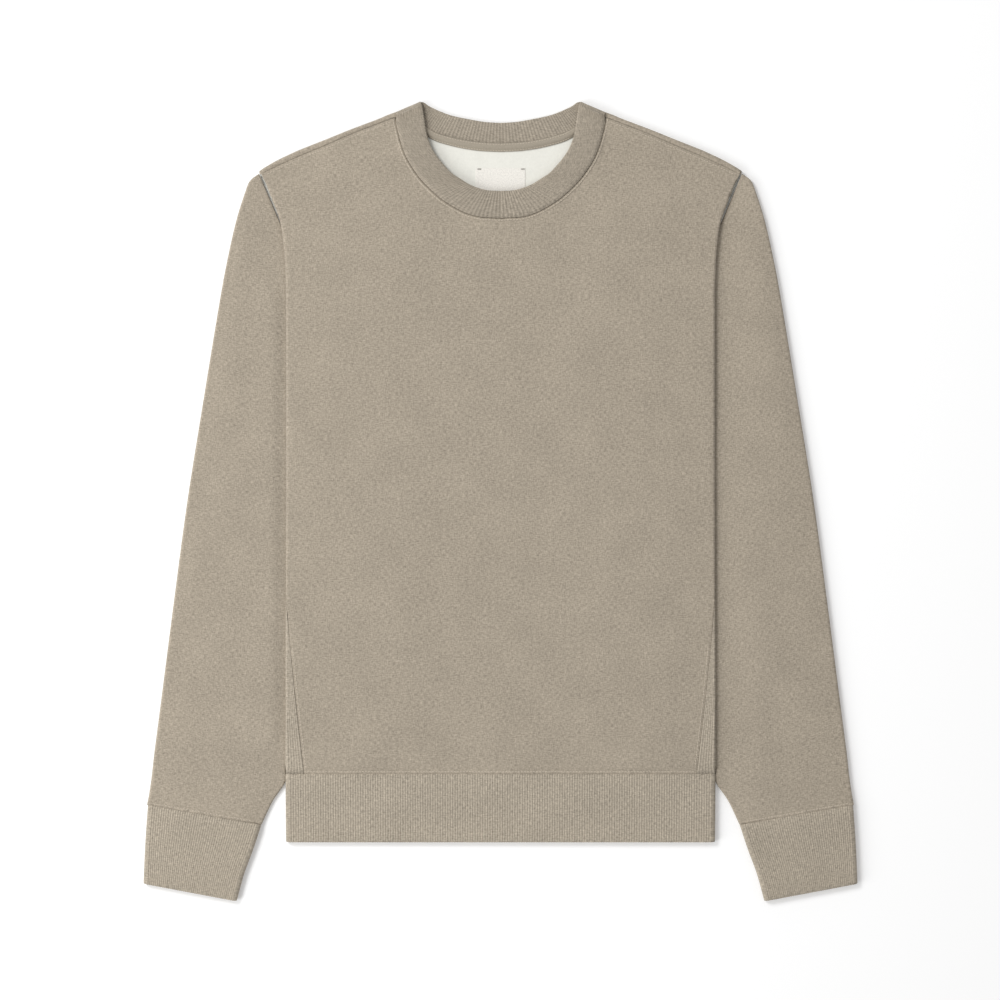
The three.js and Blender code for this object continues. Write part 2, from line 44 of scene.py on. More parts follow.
# Driving dimensions in millimetres, the same as the solids'
HEM_SEAM_Y = -259.4
HEM_BOTTOM_Y = -323.6
UNDERARM_Y = 58.0
ARMHOLE_START_Y = UNDERARM_Y + 32
SHOULDER_CORNER_Y = 311

# Half of the small gap that is left in a seam
SEAM = 0.04

# How thick each cloth is
FLEECE = 1.7
SLEEVE_FLEECE = 1.6
RIB = 3.0
TAPE = 0.9
LABEL = 0.18

# Share of its thickness that each face of a wall loses at its free edges
EDGE_SOFTENING = 0.22

# How high the middle of each layer lies
BACK_MID = FLEECE / 2
SLEEVE_LOW_MID = SLEEVE_FLEECE / 2
SLEEVE_TOP_MID = 2.7
SLEEVE_LOFT_MID = 4.6
SIDE_RETURN_MID = 4.65
FRONT_MID = 5.0
FRONT_EDGE_MID = 6.65
RIB_LOW_MID = RIB / 2
RIB_TOP_MID = 5.0
COLLAR_FRONT_MID = 6.4

# Ribs, and how many points draw one of them
RIB_PITCH = 2.4
RIB_HEIGHT = 0.4
RIB_POINTS = 6
STRIP_RIBS = 7

# The shown strip of the side panel, and how far the front panel turns under above it
SIDE_STRIP = 17.8
SIDE_STRIP_END_Y = -94.0
SIDE_STRIP_BEND = 1.2
TURNED_UNDER = 14.0
TURN_FADE = 90
ARM_TUCK_END_Y = 300
ARM_TUCK_FADE = 34

# The body's folds and slopes: where they start or end, and how far they reach
MIN_FOLD_RADIUS = 0.95
FOLD_REACH = 4.0
FRONT_FACE_DEPTH = 0.2
CLIMB = 7.0
HEM_CLIMB = 9
EDGE_LIFT_END_Y = 308
EDGE_LIFT_FADE = 24
EDGE_SLOPE_START_X = 45
EDGE_SLOPE = 70
SHOULDER_ROLL_REACH = 12.0
SHOULDER_ROLL_START_X = 98.4

# The sleeve rises beside the body, more steeply on the left for most of its length
LOFT_START_X = 210
LOFT_REACH = 40
STEEP_LOFT_START_X = 204.5
STEEP_LOFT_REACH = 13
# Lower end and its fade, upper end and its fade
STEEP_LOFT_SPAN = (-250, 30, 230, 40)

# The neckband. Its peak goes a little past the fold and comes down over a few stations
COLLAR_WIDTH = 26
COLLAR_CROWN = 0.35
PEAK_REACH = 1.4
PEAK_FADE = 1.6

# How deep and how wide the cloth sinks at a seam
NECK_DIP = (0.5, 0.7)
SHOULDER_DIP = (0.4, 2.2)
SHOULDER_ROLL_DIP = (0.4, 2.0)
HEM_DIP = (1.3, 0.7)
SIDE_DIP = (0.3, 1.2)
SLEEVE_END_DIP = (0.9, 0.7)
RIB_SEAM_DIP = (1.2, 1.2)
RIB_END_DIP = (1.1, 1.1)
COLLAR_DIP = (1.3, 1.5)

# Beside a seam: height, distance and width of the turned allowance and of the stitched furrow
SEAM_RIDGE = (0.45, 1.5, 0.8)
SEAM_FURROW = (0.15, 3.2, 0.7)

# How far the stitches run from their seams
NECK_STITCH = 2.1
STITCH = 2.6
SIDE_STITCH = 2.4
STITCH_RISE = 0.05

# Air between pieces that lie beside or on one another
SEAM_AIR = 0.3
TAPE_AIR = 0.15
LABEL_AIR = 0.01

# How far from a tube's folds its upper face settles
TUBE_SETTLE = 12

# The last column of the front panel that follows its seam, and the search for a panel's upper edge
LAST_KNOT_X = 210
FIRST_GUESS_Y = 335.0
EDGE_TRIES = 60

SIDES = {-1: "left", 1: "right"}

# Outlines on one half: a height y and the distance x from the centre line
BODY_EDGE = [
    (-260, 204), (190, 204), (227, 205), (243, 206.3), (259, 208.3),
    (272, 211.4), (286, 217), (296, 221), (304, 226), (312, 229.5),
]
SLEEVE_INNER_FOLD = [
    (-267, 204.5), (-254.5, 204.1), (-250, 202.2), (-225, 185),
    (-180, 160), (-94, 140), (-18, 130), (58, 121),
]
BACK_SIDE_SEAM = [(-259.4, 162), (-190, 147), (-94, 129), (-18, 120), (58, 113.5), (90, 134)]

# Edges that run across: the distance x from the centre line and a height y
NECK_SEAM = [
    (0, 268.4), (27.1, 271.2), (51.8, 283.6), (69.4, 298.3),
    (81.2, 312.5), (91.2, 330.1), (97.4, 350.5), (100.2, 364.3),
]
SHOULDER_SEAM = [
    (100.2, 364.3), (120, 356.7), (142.3, 348), (164.4, 338.3),
    (187, 329), (209, 319.2), (228, 310), (232, 308),
]
BACK_NECK = [
    (0, 335.4), (19.5, 336.3), (38.5, 339), (57.5, 343.9), (72, 350),
    (85, 356.8), (96, 363), (98, 365.6), (99.5, 369.6),
]
SHOULDER_FOLD = [
    (99.5, 369.6), (107, 366.9), (113.5, 363.9), (143.9, 352.5), (167.2, 343),
    (191.4, 333.5), (211.9, 324), (229, 314), (233, 312),
]

# Lines across the sleeve and cuff: outer x, outer y, inner x, inner y
SLEEVE_ROWS = [
    (229.6, 311.2, 121, 58), (237.5, 305, 122, 50), (241.8, 295.5, 122.6, 44),
    (250.8, 267, 123.6, 36), (259.4, 229, 125.2, 22), (266.5, 191, 127.4, 4),
    (282.2, 96, 134.4, -52), (297.4, 1, 143.5, -112), (310.2, -94, 160, -180),
    (322.5, -189, 185, -225), (328.7, -236.5, 202.2, -250),
    (329.6, -244, 204.2, -254.5), (331.6, -262, 204.6, -267), (333.9, -278, 216.5, -285),
    (336, -288.8, 227.3, -307.8),
]
CUFF_ROWS = [
    (335, -288.86, 227.35, -307.86), (336.8, -313, 235, -331),
    (338.2, -338, 243.5, -354), (339.2, -363, 250.6, -379.7),
]
# Rows before the cuff seam, as shares of the sleeve's last step
SEAM_STEPS = [0.9, 0.75, 0.6, 0.45, 0.36, 0.3, 0.26, 0.22, 0.18, 0.14, 0.1, 0.07, 0.04, 0.0]
HEM_ROWS = [
    (204.3, HEM_SEAM_Y - SEAM, -204.3, HEM_SEAM_Y - SEAM), (204.1, -290, -204.1, -290),
    (203.8, HEM_BOTTOM_Y, -203.8, HEM_BOTTOM_Y),
]

# How far the knit of the sleeves and cuffs leans out from the body's, in radians
SLEEVE_TURN = 0.16
CUFF_TURN = 0.18

# Neckband stations: seam x, seam y, free edge x, free edge y
COLLAR_FRONT = [
    (98.5, 365.6, 74.6, 375.8), (99, 360, 72.8, 364.8), (97.1, 350.4, 69.6, 346.3),
    (90.9, 330.2, 62.6, 330.1), (80.9, 312.8, 48, 312.5), (69.1, 298.6, 37.5, 305.2),
    (51.6, 283.9, 27.1, 299.2), (27, 271.5, 14, 295), (0, 268.7, 0, 294),
]
COLLAR_BACK = [
    (98.5, 365.6, 74.6, 375.8), (93, 362.3, 71.6, 377.1), (85, 357.9, 66.5, 374.6),
    (72, 350.4, 57.5, 370.4), (57.5, 344.3, 46, 366.3), (38.5, 339.4, 30.5, 363),
    (19.5, 336.7, 15.3, 360.4), (0, 335.8, 0, 359.4),
]
TAPE_ROWS = [(0, 335.9), (20, 336.9), (38.5, 339.7), (57.5, 344.6), (66, 348.3), (74, 353)]
LABEL_WIDTH = 47.5
LABEL_TOP_Y = 316.5
LABEL_HEIGHT = 44.0

# Soft ridges and troughs of the laid cloth: two ends, half width and height
CREASES = [
    (-150, 250, -60, 190, 26, 0.7), (150, 245, 80, 150, 30, 0.6), (-40, 120, 60, 90, 34, 0.5),
    (-190, 60, -130, -60, 22, 0.6), (188, 40, 140, -90, 24, 0.5), (-60, -60, 90, -110, 36, 0.5),
    (-180, -150, -120, -235, 18, 0.5), (176, -140, 130, -238, 17, 0.6),
    (-30, -170, 20, -240, 30, 0.4), (-246, 230, -262, 90, 16, 0.8),
    (-250, 20, -292, -60, 18, 0.7), (-262, -120, -300, -230, 20, 0.7),
    (246, 210, 268, 60, 17, 0.8), (252, -10, 290, -90, 18, 0.6), (260, -150, 306, -225, 19, 0.7),
    (-90, 240, -30, 225, 20, 0.3), (40, 228, 100, 250, 18, 0.3),
]


def smooth(value):
    t = np.clip(value, 0.0, 1.0)
    return t * t * (3 - 2 * t)


def mix(a, b, t):
    return a + (b - a) * t


def look_up(table, place, column=1):
    """Soft curve through one column of a table, by its first column."""
    keys = [row[0] for row in table]
    values = [row[column] for row in table]
    last = len(keys) - 1
    k = 0
    while k < last - 1 and place > keys[k + 1]:
        k += 1

    def slope(i):
        a = max(0, i - 1)
        b = min(last, i + 1)
        return (values[b] - values[a]) / (keys[b] - keys[a])

    step = keys[k + 1] - keys[k]
    t = min(1.0, max(0.0, (place - keys[k]) / step))
    h = t * t * (3 - 2 * t)
    bend_a = t * (1 - t) ** 2 * step * slope(k)
    bend_b = t * t * (1 - t) * step * slope(k + 1)
    return mix(values[k], values[k + 1], h) + bend_a - bend_b


def row_at(table, place):
    """A row at a row number that may lie between two rows."""
    numbered = [(i, *row) for i, row in enumerate(table)]
    return [look_up(numbered, place, c + 1) for c in range(len(table[0]))]


def crease_height(x, y):
    """Height of the soft folds at a place."""
    total = 0.0
    for ax, ay, bx, by, width, height in CREASES:
        length = math.hypot(bx - ax, by - ay)
        along = ((x - ax) * (bx - ax) + (y - ay) * (by - ay)) / length
        aside = ((x - ax) * (by - ay) - (y - ay) * (bx - ax)) / length
        beyond = max(0.0, -along, along - length)
        total += height * math.exp(-(aside / width) ** 2 - (beyond / (1.6 * width)) ** 2)
    return total


def rib_relief(place):
    """Height of the ribs at a place counted in points along them."""
    return RIB_HEIGHT * (0.5 - 0.5 * math.cos(2 * math.pi * place / RIB_POINTS))


def curve_through(points, place):
    """Straight steps through a list of points."""
    return float(np.interp(place, [p[0] for p in points], [p[1] for p in points]))


def spaced(start, end, count):
    return [mix(start, end, k / count) for k in range(count + 1)]


def between(values, steps):
    """Each gap of a list of values cut into equal steps."""
    result = []
    for a, b in zip(values, values[1:]):
        result += [mix(a, b, k / steps) for k in range(steps)]
    return result + [values[-1]]


# Cloth walls


def lengths_along(grid, axis):
    steps = np.linalg.norm(np.diff(grid, axis=axis), axis=2)
    zero = np.zeros_like(np.take(steps, [0], axis=axis))
    return np.concatenate([zero, np.cumsum(steps, axis=axis)], axis=axis)


def cloth_places(grid, turn):
    """Place of each point on the cloth: across and along the knit, which is turned by an angle.

    With no angle the knit follows the grid's own rows.
    """
    if turn is None:
        return lengths_along(grid, 1), lengths_along(grid, 0)
    x, y, z = grid[..., 0], grid[..., 1], grid[..., 2]
    return x * math.cos(turn) + y * math.sin(turn) + z, y * math.cos(turn) - x * math.sin(turn)


def wall(name, grid, thickness, materials, tube=False, facing=1, turn=0.0, rib=0.0, inner_rib=0.0):
    """Closed cloth wall around a grid of middle points, with softened edges.

    materials holds the outer face's material and the inner face's. turn is the angle of the knit.
    rib and inner_rib raise the outer and the inner face.
    """
    grid = np.array(grid, dtype=float)
    rows, columns = grid.shape[:2]
    along = np.gradient(grid, axis=0)
    if tube:
        across = np.roll(grid, -1, axis=1) - np.roll(grid, 1, axis=1)
    else:
        across = np.gradient(grid, axis=1)
    normal = np.cross(across, along)
    normal *= facing / np.maximum(np.linalg.norm(normal, axis=2, keepdims=True), 1e-9)
    half = thickness / 2
    edge = EDGE_SOFTENING * thickness
    shrink = np.zeros((rows, columns))
    shrink[0, :] = shrink[-1, :] = edge
    if not tube:
        shrink[:, 0] = shrink[:, -1] = edge
    out = half + rib - shrink
    inn = half + inner_rib - shrink
    outer = grid + normal * out[..., None]
    inner = grid - normal * inn[..., None]
    points = np.concatenate([outer.reshape(-1, 3), inner.reshape(-1, 3)]) * MM
    count = rows * columns
    width = columns if tube else columns - 1
    faces = []
    kinds = []
    for i in range(rows - 1):
        for j in range(width):
            a = i * columns + j
            b = i * columns + (j + 1) % columns
            c, d = b + columns, a + columns
            faces.append((a, b, c, d))
            faces.append((d + count, c + count, b + count, a + count))
            kinds += [0, 1]
    top = (rows - 1) * columns
    for j in range(width):
        b = (j + 1) % columns
        faces.append((j + count, b + count, b, j))
        faces.append((top + j, top + b, top + b + count, top + j + count))
        kinds += [0, 0]
    if not tube:
        for i in range(rows - 1):
            a = i * columns
            b = a + columns
            e = columns - 1
            faces.append((a, b, b + count, a + count))
            faces.append((a + e + count, b + e + count, b + e, a + e))
            kinds += [0, 0]
    if facing < 0:
        faces = [face[::-1] for face in faces]
    mesh = bpy.data.meshes.new(name)
    mesh.from_pydata(points.tolist(), [], faces)
    flat = np.stack(cloth_places(grid, turn), axis=2).reshape(-1, 2) * MM
    flat = np.concatenate([flat, flat])
    relief = np.concatenate([face * np.ones((rows, columns)) for face in (rib, inner_rib)]).ravel()
    # Rib height per point, which the knit shaders also use to paint shade into the hollows between the
    # ribs.
    mesh.attributes.new("relief", "FLOAT", "POINT").data.foreach_set("value", relief / RIB_HEIGHT)
    layer = mesh.uv_layers.new(name="cloth")
    corners = np.empty(len(mesh.loops), dtype=np.int64)
    mesh.loops.foreach_get("vertex_index", corners)
    layer.data.foreach_set("uv", flat[corners].ravel())
    for material in materials:
        mesh.materials.append(material)
    mesh.polygons.foreach_set("material_index", np.array(kinds, dtype=np.int32))
    mesh.polygons.foreach_set("use_smooth", np.ones(len(kinds), dtype=bool))
    mesh.validate()
    mesh.update()
    piece = bpy.data.objects.new(name, mesh)
    bpy.context.scene.collection.objects.link(piece)
    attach(piece, "root")
    return piece


def mirrored(grid):
    full = []
    for row in grid:
        left = [(-p[0], p[1], p[2]) for p in reversed(row[1:])]
        full.append(left + list(row))
    return full


# Body paths


def lift_over_sleeve(y):
    return smooth((y - HEM_SEAM_Y) / HEM_CLIMB)


def front_edge_mid(y):
    lift = lift_over_sleeve(y) * smooth((EDGE_LIFT_END_Y - y) / EDGE_LIFT_FADE)
    return mix(FRONT_MID, FRONT_EDGE_MID, lift)


def front_mid(x, y):
    return mix(FRONT_MID, front_edge_mid(y), smooth((abs(x) - EDGE_SLOPE_START_X) / EDGE_SLOPE))


def side_return_mid(y):
    return mix(BACK_MID, SIDE_RETURN_MID, lift_over_sleeve(y))


def fold_radius(y):
    return max(MIN_FOLD_RADIUS, (front_edge_mid(y) - side_return_mid(y)) / 2)


def fold_start(y):
    return look_up(BODY_EDGE, y) - fold_radius(y) - FLEECE / 2


def side_foot_x(y):
    return min(look_up(SLEEVE_INNER_FOLD, min(y, UNDERARM_Y)) + 1, fold_start(y))


def side_path(y, length):
    """Point of the right-hand body path at a length past the start of the side fold."""
    radius = fold_radius(y)
    start = fold_start(y)
    turn = math.pi * radius
    high = front_edge_mid(y)
    if length <= 0:
        return (start + length, y, front_mid(start + length, y))
    if length < turn:
        angle = length / radius
        return (start + radius * math.sin(angle), y, high - radius * (1 - math.cos(angle)))
    x = start - (length - turn)
    low = high - 2 * radius
    drop = 0.0 if y > UNDERARM_Y else smooth((side_foot_x(y) - x) / CLIMB)
    return (x, y, mix(low, BACK_MID, drop))


def front_edge_length(y):
    """Where the front panel ends on the body path."""
    radius = fold_radius(y)
    hidden = math.pi * radius + TURNED_UNDER
    shown = -(SIDE_STRIP - radius - FLEECE / 2)
    if y > UNDERARM_Y:
        return hidden * smooth((ARM_TUCK_END_Y - y) / ARM_TUCK_FADE)
    t = (y - HEM_SEAM_Y) / (SIDE_STRIP_END_Y - HEM_SEAM_Y)
    if t < 1:
        return mix(radius, shown, (1 - t) ** SIDE_STRIP_BEND)
    return mix(radius, hidden, smooth((y - SIDE_STRIP_END_Y) / TURN_FADE))


def seam_dip(distance, depth, reach):
    """How far cloth sinks towards a seam that is a distance away."""
    return -depth * math.exp(-(distance / reach) ** 2)


def seam_ridge(distance):
    """Soft ridge of the turned seam allowance, with the furrow of its topstitching behind it."""
    (ridge, ridge_place, ridge_width), (furrow, furrow_place, furrow_width) = SEAM_RIDGE, SEAM_FURROW
    rise = ridge * math.exp(-(((distance - ridge_place) / ridge_width) ** 2))
    return rise - furrow * math.exp(-(((distance - furrow_place) / furrow_width) ** 2))


def line_distance(points, x, y):
    """Distance from a place to a line of points on the right-hand half."""
    px = abs(x)
    best = 1e9
    for (ax, ay), (bx, by) in zip(points, points[1:]):
        dx, dy = bx - ax, by - ay
        t = min(1.0, max(0.0, ((px - ax) * dx + (y - ay) * dy) / (dx * dx + dy * dy)))
        best = min(best, math.hypot(px - ax - t * dx, y - ay - t * dy))
    return best


def smooth_line(points, steps=8):
    return [tuple(row_at(points, k / steps)) for k in range(steps * (len(points) - 1) + 1)]


NECK_LINE = smooth_line(NECK_SEAM)
SHOULDER_LINE = smooth_line(SHOULDER_SEAM)


def front_surface(x, y):
    """Height of the front panel's middle with its folds and the dips along its seams."""
    z = front_mid(x, y) + crease_height(x, y)
    neck = line_distance(NECK_LINE, x, y)
    z += seam_dip(neck, *NECK_DIP) + seam_ridge(neck)
    z += seam_dip(line_distance(SHOULDER_LINE, x, y), *SHOULDER_DIP)
    z += seam_dip(y - HEM_SEAM_Y, *HEM_DIP) + seam_ridge(y - HEM_SEAM_Y)
    return z


SIDE_SEAM_LINE = [
    (fold_start(y) + front_edge_length(y), y) for y in spaced(HEM_SEAM_Y, SIDE_STRIP_END_Y, 30)
]


def top_edge_y(edge_line, share, width_at):
    """Height where a column of a panel meets its upper edge, found by going half way again and again."""
    y = FIRST_GUESS_Y
    for _ in range(EDGE_TRIES):
        y = mix(y, curve_through(edge_line, share * width_at(y)), 0.5)
    return y


def front_width(y):
    return fold_start(min(y, SHOULDER_CORNER_Y)) - FOLD_REACH


def front_point(x, y, z):
    """A point of the front panel at its full height. Away from the side fold it comes without one."""
    if z is None:
        return (x, y, front_surface(x, y))
    if abs(x) >= fold_start(y) or z <= front_edge_mid(y) - FRONT_FACE_DEPTH:
        return (x, y, z)
    raised = mix(z, front_surface(x, y), smooth((fold_start(y) - abs(x)) / FOLD_REACH))
    if y < SIDE_STRIP_END_Y:
        raised += seam_dip(line_distance(SIDE_SEAM_LINE, x, y), *SIDE_DIP)
    return (x, y, raised)


def front_panel(materials):
    """The front, in rows from the hem seam up to the neck and shoulder seams."""
    base = HEM_SEAM_Y + SEAM
    edge_line = NECK_LINE + SHOULDER_LINE[1:]
    knots = [(x, y) for x, y in NECK_SEAM + SHOULDER_SEAM[1:] if x < LAST_KNOT_X]
    shares = between([x / front_width(y) for x, y in knots] + [1.0], 5)
    tops = [top_edge_y(edge_line, share, front_width) - SEAM for share in shares]
    fold_shares = spaced(0.0, 1.0, 14)[1:]
    near_seam = [0, 0.4, 0.8, 1.2, 1.7, 2.2, 2.7, 3.1, 3.5, 3.9, 4.5, 5.5, 8]
    levels = [base + distance for distance in near_seam] + spaced(-245, 290, 110)
    levels += [tops[-1] - distance for distance in reversed(near_seam)]
    grid = []
    for level in levels:
        height = (level - base) / (levels[-1] - base)
        row = []
        for share, share_top in zip(shares, tops):
            y = mix(base, share_top, height)
            x = share * (fold_start(y) + min(0, front_edge_length(y) - SEAM) - FOLD_REACH)
            row.append((x, y, None))
        end = front_edge_length(level) - SEAM
        start = min(0, end) - FOLD_REACH
        row += [side_path(level, mix(start, end, share)) for share in fold_shares]
        grid.append(row)
    placed = [[front_point(*p) for p in row] for row in mirrored(grid)]
    return wall("front_panel_cloth", placed, FLEECE, materials)


def side_panel(side, materials):
    """The ribbed strip beside the hem and the hidden cloth that climbs down to the back."""
    levels = [HEM_SEAM_Y + SEAM] + spaced(-254, UNDERARM_Y, 90)
    grid = []
    relief = []
    for y in levels:
        start = fold_start(y)
        turn = math.pi * fold_radius(y)
        first = front_edge_length(y) + SEAM
        last = turn + start - back_side_x(y) - SEAM
        bend_end = max(first + 2, turn)
        foot = max(bend_end + 1, turn + start - side_foot_x(y))
        lengths = spaced(first, bend_end, STRIP_RIBS * RIB_POINTS)
        ribbed = len(lengths)
        lengths += spaced(bend_end, foot, 6)[1:] + spaced(foot, foot + CLIMB, 8)[1:] + [last]
        points = [side_path(y, length) for length in lengths]
        grid.append([(side * p[0], p[1], p[2]) for p in points])
        shown = max(0.0, (SIDE_STRIP_END_Y - y) / (SIDE_STRIP_END_Y - HEM_SEAM_Y))
        ribs = [shown * rib_relief(k) for k in range(ribbed)]
        relief.append(ribs + [0.0] * (len(lengths) - ribbed))
    name = f"side_panel_{SIDES[side]}_cloth"
    return wall(name, grid, FLEECE, materials, facing=side, rib=np.array(relief))


def armhole_x(y):
    """Where the first line across the sleeve stands at a height."""
    outer_x, outer_y, inner_x, inner_y = SLEEVE_ROWS[0]
    return mix(inner_x, outer_x, (y - inner_y) / (outer_y - inner_y))


def back_side_x(y):
    """The back's side edge: the side seam, and the armhole above it."""
    if y > ARMHOLE_START_Y:
        return armhole_x(y) - 2 * SEAM_AIR
    return curve_through(BACK_SIDE_SEAM, y)


def back_width(y):
    return back_side_x(min(y, SHOULDER_CORNER_Y))


def back_panel(materials):
    """The back, whose shoulders roll over to meet the front, in columns from the hem up."""
    base = HEM_SEAM_Y + SEAM
    radius = (FRONT_MID - BACK_MID) / 2
    reach = SHOULDER_ROLL_REACH
    edge_line = BACK_NECK + SHOULDER_FOLD[1:]
    knots = [0, 0.09, 0.18, 0.27, 0.34, 0.39, 0.429, 0.4335, 0.4375, 0.455, 0.49, 0.6, 0.72, 0.84, 0.94, 1]
    last_level = 296.0
    levels = [base] + between([-190, -94, -18, UNDERARM_Y, ARMHOLE_START_Y, 180, last_level], 5)
    columns = []
    for share in between(knots, 3):
        fold = top_edge_y(edge_line, share, back_width)
        top_x = share * back_width(fold)
        rolled = float(smooth(top_x - SHOULDER_ROLL_START_X))
        seam = curve_through(SHOULDER_LINE, max(top_x, 101)) + SEAM_AIR
        if rolled > 0:
            tangent = fold - FLEECE / 2 - radius
            end = mix(radius, math.pi * radius + max(0.0, tangent - seam), rolled)
            lengths = spaced(-reach, 0, 4)[1:] + spaced(0, end, 14)[1:]
        else:
            tangent = fold - SEAM_AIR
            lengths = spaced(-reach, -0.1, 18)[1:]
        column = []
        for level in levels:
            t = (level - base) / (last_level - base)
            y = mix(base, tangent - reach, t) if share < 1 else level
            column.append((share * back_side_x(y), y, BACK_MID))
        for length in lengths:
            angle = min(math.pi, max(0.0, length / radius))
            past = max(0.0, length - math.pi * radius)
            y = tangent + min(0.0, length) + radius * math.sin(angle) - past
            z = BACK_MID + radius * (1 - math.cos(angle))
            if past > 0:
                z += seam_dip(y - seam, *SHOULDER_ROLL_DIP)
            column.append((share * back_width(y), y, z))
        columns.append(column)
    grid = [[column[i] for column in columns] for i in range(len(columns[0]))]
    return wall("back_panel_cloth", mirrored(grid), FLEECE, materials)


# Tubes


def flat_tube(rows, side, thickness, low_mid, top_mid, low_steps, top_steps, fold_steps=10):
    """Loops of a flattened tube through rows that run from its inner fold to its outer fold."""
    angles = [math.pi * k / fold_steps for k in range(1, fold_steps)]
    grid = []
    for outer_x, outer_y, inner_x, inner_y in rows:
        inner = np.array((inner_x, inner_y))
        outer = np.array((outer_x, outer_y))
        width = float(np.linalg.norm(outer - inner))
        direction = (outer - inner) / width

        def place(distance, z):
            p = inner + direction * distance
            return (side * p[0], p[1], z)

        edge_in, edge_out = top_mid(*inner), top_mid(*outer)
        radius_in, radius_out = (edge_in - low_mid) / 2, (edge_out - low_mid) / 2
        first = thickness / 2 + radius_in
        last = width - thickness / 2 - radius_out
        loop = []
        for k in range(top_steps + 1):
            distance = mix(first, last, k / top_steps)
            p = inner + direction * distance
            settle = smooth(min(distance - first, last - distance) / TUBE_SETTLE)
            edge = edge_in if k < top_steps / 2 else edge_out
            height = top_mid(*p) + crease_height(side * p[0], p[1])
            loop.append(place(distance, mix(edge, height, settle)))
        for angle in angles:
            z = low_mid + radius_out * (1 + math.cos(angle))
            loop.append(place(last + radius_out * math.sin(angle), z))
        loop += [place(distance, low_mid) for distance in spaced(last, first, low_steps)]
        for angle in angles:
            z = low_mid + radius_in * (1 - math.cos(angle))
            loop.append(place(first - radius_in * math.sin(angle), z))
        grid.append(loop)
    return grid


def rows_through(table, steps):
    count = (len(table) - 1) * steps
    return [row_at(table, k / steps) for k in range(count + 1)]


def sleeve_top_mid(x, y):
    """Height of the middle of a sleeve's upper layer. The left sleeve has a negative x."""
    steep = 0.0
    if x < 0:
        low_y, low_fade, high_y, high_fade = STEEP_LOFT_SPAN
        steep = smooth((y - low_y) / low_fade) * smooth((high_y - y) / high_fade)
    start = mix(LOFT_START_X, STEEP_LOFT_START_X, steep)
    reach = mix(LOFT_REACH, STEEP_LOFT_REACH, steep)
    loft = mix(SLEEVE_TOP_MID, SLEEVE_LOFT_MID, smooth((abs(x) - start) / reach))
    cuff_distance = line_distance([SLEEVE_ROWS[-1][:2], SLEEVE_ROWS[-1][2:]], x, y)
    return float(loft + seam_dip(cuff_distance, *SLEEVE_END_DIP) + seam_ridge(cuff_distance))


def sleeve(side, materials):
    rows = rows_through(SLEEVE_ROWS, 9)[:-9]
    rows += [row_at(SLEEVE_ROWS, len(SLEEVE_ROWS) - 1 - back) for back in SEAM_STEPS]

    def top_mid(x, y):
        return sleeve_top_mid(side * x, y)

    grid = flat_tube(rows, side, SLEEVE_FLEECE, SLEEVE_LOW_MID, top_mid, 12, 80)
    turn = side * SLEEVE_TURN
    name = f"sleeve_{SIDES[side]}_cloth"
    return wall(name, grid, SLEEVE_FLEECE, materials, tube=True, facing=-side, turn=turn)


def ribbed_tube(name, rows, side, materials, turn=0.0):
    """A cuff or the hem band: a flattened tube of rib with a rounded free end."""
    width = math.hypot(rows[0][0] - rows[0][2], rows[0][1] - rows[0][3])
    steps = round(width / RIB_PITCH) * RIB_POINTS
    last = len(rows) - 1
    shares = [0, 0.004, 0.012, 0.03, 0.07] + spaced(0.15, 0.93, 10) + [0.96, 0.98, 0.99, 0.996, 1]
    dense = [row_at(rows, share * last) for share in shares]
    grid = flat_tube(dense, side, RIB, RIB_LOW_MID, lambda x, y: RIB_TOP_MID, 12, steps)
    length = math.hypot(rows[0][0] - rows[-1][0], rows[0][1] - rows[-1][1])
    for i, share in enumerate(shares):
        sunk = seam_dip(share * length, *RIB_SEAM_DIP) + seam_dip((1 - share) * length, *RIB_END_DIP)
        grid[i] = [(x, y, z + sunk * smooth((z - RIB_LOW_MID) / 3)) for x, y, z in grid[i]]
    relief = np.zeros((len(grid), len(grid[0])))
    relief[:, :steps + 1] = [rib_relief(k) for k in range(steps + 1)]
    return wall(name, grid, RIB, materials, tube=True, facing=-side, turn=turn, rib=relief)


def collar_ring():
    """Stations round the neck: seam point, free point, height, and which part of the ring it is."""
    front_steps, back_steps, fold_steps = 54 * RIB_POINTS, 40 * RIB_POINTS, 12
    half = []
    for k in range(front_steps):
        station = row_at(COLLAR_FRONT, (len(COLLAR_FRONT) - 1) * (1 - k / front_steps))
        half.append((*station, COLLAR_FRONT_MID, "front"))
    radius = (COLLAR_FRONT_MID - RIB_LOW_MID) / 2
    seam_x, seam_y, free_x, free_y = COLLAR_FRONT[0]
    slope = np.array((seam_y - free_y, free_x - seam_x))
    slope /= np.linalg.norm(slope)
    for k in range(fold_steps + 1):
        angle = math.pi * k / fold_steps
        out = -radius * math.sin(angle)
        peak = out if k <= fold_steps / 2 else -radius - PEAK_REACH * (1 - math.sin(angle))
        seam_end = (seam_x + slope[0] * out, seam_y + slope[1] * out)
        free_end = (free_x + slope[0] * peak, free_y + slope[1] * peak)
        half.append((*seam_end, *free_end, RIB_LOW_MID + radius * (1 + math.cos(angle)), "fold"))
    for k in range(1, back_steps + 1):
        place = (len(COLLAR_BACK) - 1) * k / back_steps
        seam_x, seam_y, free_x, free_y = row_at(COLLAR_BACK, place)
        peak = -(radius + PEAK_REACH) * max(0.0, 1 - place / PEAK_FADE)
        free_end = (free_x + slope[0] * peak, free_y + slope[1] * peak)
        half.append((seam_x, seam_y, *free_end, RIB_LOW_MID, "back"))
    left = [(-s[0], s[1], -s[2], s[3], s[4], s[5]) for s in reversed(half[1:-1])]
    return half + left


